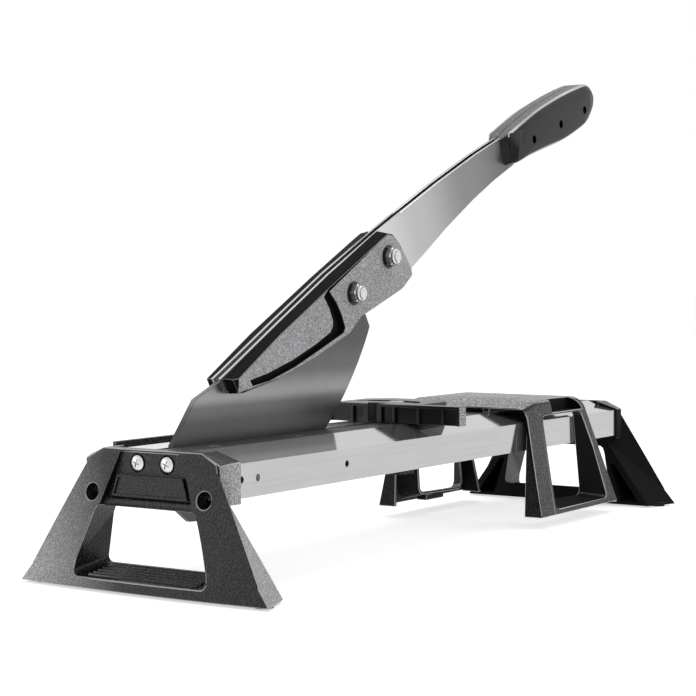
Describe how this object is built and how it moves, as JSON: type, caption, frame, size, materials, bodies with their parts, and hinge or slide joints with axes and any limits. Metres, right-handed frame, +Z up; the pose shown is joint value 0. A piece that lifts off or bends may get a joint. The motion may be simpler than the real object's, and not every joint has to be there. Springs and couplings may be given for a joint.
{
  "type": "laminate flooring cutter",
  "caption": "Bench guillotine for laminate boards: aluminium rail base on moulded feet, hinged lever with a curved blade, swivelling fence and lift-off board support.",
  "frame": {"origin": "on the floor under the middle of the cutter's overall box, with the lever at rest", "axes": "+Z up; +Y from the hinge end to the far end, along the blade; +X towards the near side, the one without the edge rest"},
  "size_m": [0.2016, 0.6257, 0.3732],
  "materials": {
    "foot_plastic": "textured",
    "support_plastic": "coarsely textured",
    "pad_rubber": "matte",
    "rail_metal": "satin",
    "strip_plastic": "fine textured",
    "ground_steel": "ground",
    "zinc_screws": "zinc plated",
    "pin_steel": "turned",
    "blade_steel": "fine ground",
    "brass": "turned",
    "lever_metal": "blasted",
    "cover_plastic": "textured",
    "grip_plastic": "semi-gloss",
    "fence_plastic": "smooth"
  },
  "bodies": {
    "base": {"front_foot": "foot_plastic", "rear_foot": "foot_plastic", "foot_pads": "pad_rubber", "near_rail": "rail_metal", "far_rail": "rail_metal", "near_table_strip": "strip_plastic", "counter_blade": "ground_steel", "edge_rest": "strip_plastic", "strip_screws": "zinc_screws", "front_foot_screws": "zinc_screws", "rear_foot_screws": "zinc_screws", "hinge_pin": "pin_steel", "thrust_washers": "pin_steel", "rail_spacer": "strip_plastic", "rear_cross_pin": "pin_steel", "fence_pins": "pin_steel", "fence_bolt": "zinc_screws", "fence_washer": "zinc_screws", "clamp_plate": "pin_steel"},
    "lever": {"blade": "blade_steel", "blade_bush": "brass", "near_lever_plate": "lever_metal", "far_lever_plate": "lever_metal", "tang_spacer": "pin_steel", "near_cover": "cover_plastic", "far_cover": "cover_plastic", "cover_bolts": "zinc_screws", "cover_nuts": "zinc_screws", "cover_washers": "zinc_screws", "near_grip": "grip_plastic", "far_grip": "grip_plastic", "grip_screws": "zinc_screws", "grip_nuts": "zinc_screws"},
    "fence": {"fence": "fence_plastic"},
    "knob": {"clamp_knob": "strip_plastic", "knob_insert": "brass"},
    "support": {"support": "support_plastic"}
  },
  "joints": [
    {"name": "lever_hinge", "type": "hinge", "parent": "base", "child": "lever", "pos_m": [0, -0.25922, 0.0732], "axis": [1, 0, 0], "range_deg": [-18, 45]},
    {"name": "fence_swing", "type": "hinge", "parent": "base", "child": "fence", "pos_m": [0, -0.03852, 0.0905], "axis": [0, 0, 1], "range_deg": [-30, 30]},
    {"name": "knob_turn", "type": "hinge", "parent": "base", "child": "knob", "pos_m": [0, -0.00452, 0.0535], "axis": [0, 0, 1], "continuous": true},
    {"name": "support_lift", "type": "slide", "parent": "base", "child": "support", "axis": [0, 0, 1], "range_m": [0, 0.02]}
  ]
}
